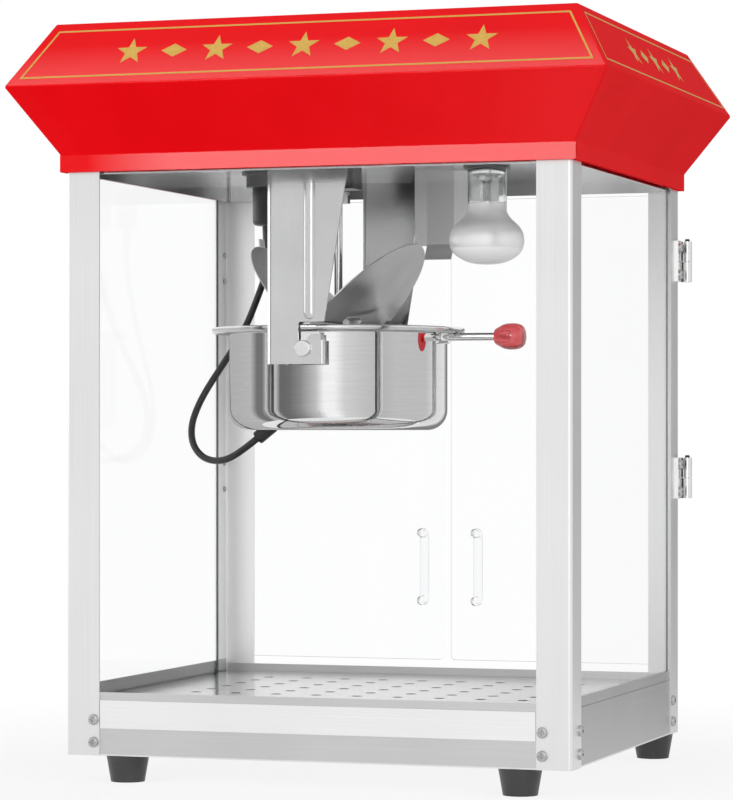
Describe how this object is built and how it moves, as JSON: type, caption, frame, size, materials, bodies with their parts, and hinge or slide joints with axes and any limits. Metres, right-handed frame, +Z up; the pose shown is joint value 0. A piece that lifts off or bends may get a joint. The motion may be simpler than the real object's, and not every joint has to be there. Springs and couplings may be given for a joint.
{
  "type": "popcorn maker",
  "caption": "Tabletop popcorn maker: glazed steel cabinet with a red canopy, a tilting kettle with hinged lids and stirrer, rear doors, warming deck and kernel drawer.",
  "frame": {"origin": "on the table under the middle of the cabinet", "axes": "+Z up, front towards -Y, kettle handle towards +X"},
  "size_m": [0.5072, 0.4432, 0.623],
  "materials": {
    "satin_steel": "satin stainless sheet",
    "bright_steel": "bright stainless sheet",
    "polished_steel": "polished stainless",
    "plated_steel": "zinc plated",
    "pane_glass": "clear float glass",
    "clear_acrylic": "clear sheet",
    "frosted_glass": "frosted reflector lamp",
    "red_enamel": "gloss red enamel with gold ornament",
    "red_plastic": "translucent red",
    "black_rubber": "matt black rubber",
    "cord_rubber": "black cord sheath",
    "black_plastic": "black moulded plastic",
    "rocker_plastic": "gloss black rocker",
    "motor_paint": "grey motor case",
    "heater_metal": "heater case"
  },
  "bodies": {
    "cabinet": {"post_front_left": "satin_steel", "post_front_right": "satin_steel", "post_rear_left": "satin_steel", "post_rear_right": "satin_steel", "base_pan": "satin_steel", "feet": "black_rubber", "front_apron": "satin_steel", "front_band": "satin_steel", "rear_apron": "satin_steel", "left_apron": "satin_steel", "right_apron": "satin_steel", "cabinet_screws": "plated_steel", "deck": "bright_steel", "deck_heater": "heater_metal", "drawer_runners": "satin_steel", "front_glass": "pane_glass", "left_glass": "pane_glass", "right_glass": "pane_glass", "ceiling_pan": "bright_steel", "canopy_shell": "red_enamel", "hinge_post_leaves": "plated_steel", "hinge_pins": "black_plastic", "hanger_front": "bright_steel", "hanger_rear": "bright_steel", "gear_motor": "motor_paint", "drive_block": "black_plastic", "lampholder": "black_plastic", "bulb_cap": "plated_steel", "bulb": "frosted_glass", "lamp_shield": "bright_steel", "kettle_socket": "black_plastic", "kettle_plug": "black_plastic", "kettle_cord": "cord_rubber", "switch_housings": "black_plastic", "power_gland": "black_plastic"},
    "left_door": {"left_door_panel": "clear_acrylic", "left_door_leaves": "plated_steel", "left_door_screws": "plated_steel", "left_door_pull": "clear_acrylic"},
    "right_door": {"right_door_panel": "clear_acrylic", "right_door_leaves": "plated_steel", "right_door_screws": "plated_steel", "right_door_pull": "clear_acrylic"},
    "kettle": {"kettle_shell": "polished_steel", "kettle_base": "polished_steel", "kettle_heater": "heater_metal", "kettle_pivots": "plated_steel", "handle_rod": "plated_steel", "handle_knob": "red_plastic", "crossbar": "bright_steel", "kettle_gland": "black_plastic"},
    "left_lid": {"left_lid": "bright_steel"},
    "right_lid": {"right_lid": "bright_steel"},
    "stirrer": {"stirrer_shaft": "plated_steel", "stirrer_blade": "bright_steel"},
    "drive_hub": {"drive_hub": "plated_steel"},
    "drawer": {"kernel_drawer": "satin_steel"},
    "rocker_light": {"rocker_light": "rocker_plastic"},
    "rocker_heat": {"rocker_heat": "rocker_plastic"},
    "rocker_motor": {"rocker_motor": "rocker_plastic"}
  },
  "joints": [
    {"name": "left_door_swing", "type": "hinge", "parent": "cabinet", "child": "left_door", "pos_m": [-0.2212, 0.191, 0.247], "axis": [0, 0, 1], "range_deg": [0, 180]},
    {"name": "right_door_swing", "type": "hinge", "parent": "cabinet", "child": "right_door", "pos_m": [0.2212, 0.191, 0.247], "axis": [0, 0, -1], "range_deg": [0, 180]},
    {"name": "kettle_tilt", "type": "hinge", "parent": "cabinet", "child": "kettle", "pos_m": [-0.0338, 0, 0.357], "axis": [0, 1, 0], "range_deg": [0, 100], "deforming": ["kettle_cord"]},
    {"name": "left_lid_hinge", "type": "hinge", "parent": "kettle", "child": "left_lid", "pos_m": [-0.05, 0, 0.3835], "axis": [0, 1, 0], "range_deg": [-49.5, 27]},
    {"name": "right_lid_hinge", "type": "hinge", "parent": "kettle", "child": "right_lid", "pos_m": [-0.032, 0, 0.3835], "axis": [0, -1, 0], "range_deg": [-49.5, 27]},
    {"name": "stirrer_spin", "type": "hinge", "parent": "kettle", "child": "stirrer", "pos_m": [-0.041, 0, 0.4], "axis": [0, 0, 1], "continuous": true},
    {"name": "hub_spin", "type": "hinge", "parent": "cabinet", "child": "drive_hub", "pos_m": [-0.041, 0, 0.49], "axis": [0, 0, 1], "continuous": true},
    {"name": "drawer_slide", "type": "slide", "parent": "cabinet", "child": "drawer", "axis": [0, 1, 0], "range_m": [0, 0.15]},
    {"name": "light_switch", "type": "hinge", "parent": "cabinet", "child": "rocker_light", "pos_m": [-0.042, 0.20618, 0.59651], "axis": [1, 0, 0], "range_deg": [0, 16]},
    {"name": "heat_switch", "type": "hinge", "parent": "cabinet", "child": "rocker_heat", "pos_m": [0, 0.20618, 0.59651], "axis": [1, 0, 0], "range_deg": [0, 16]},
    {"name": "motor_switch", "type": "hinge", "parent": "cabinet", "child": "rocker_motor", "pos_m": [0.042, 0.20618, 0.59651], "axis": [1, 0, 0], "range_deg": [0, 16]}
  ],
  "couplings": [
    {"joint": "hub_spin", "follows": "stirrer_spin", "ratio": 1}
  ]
}
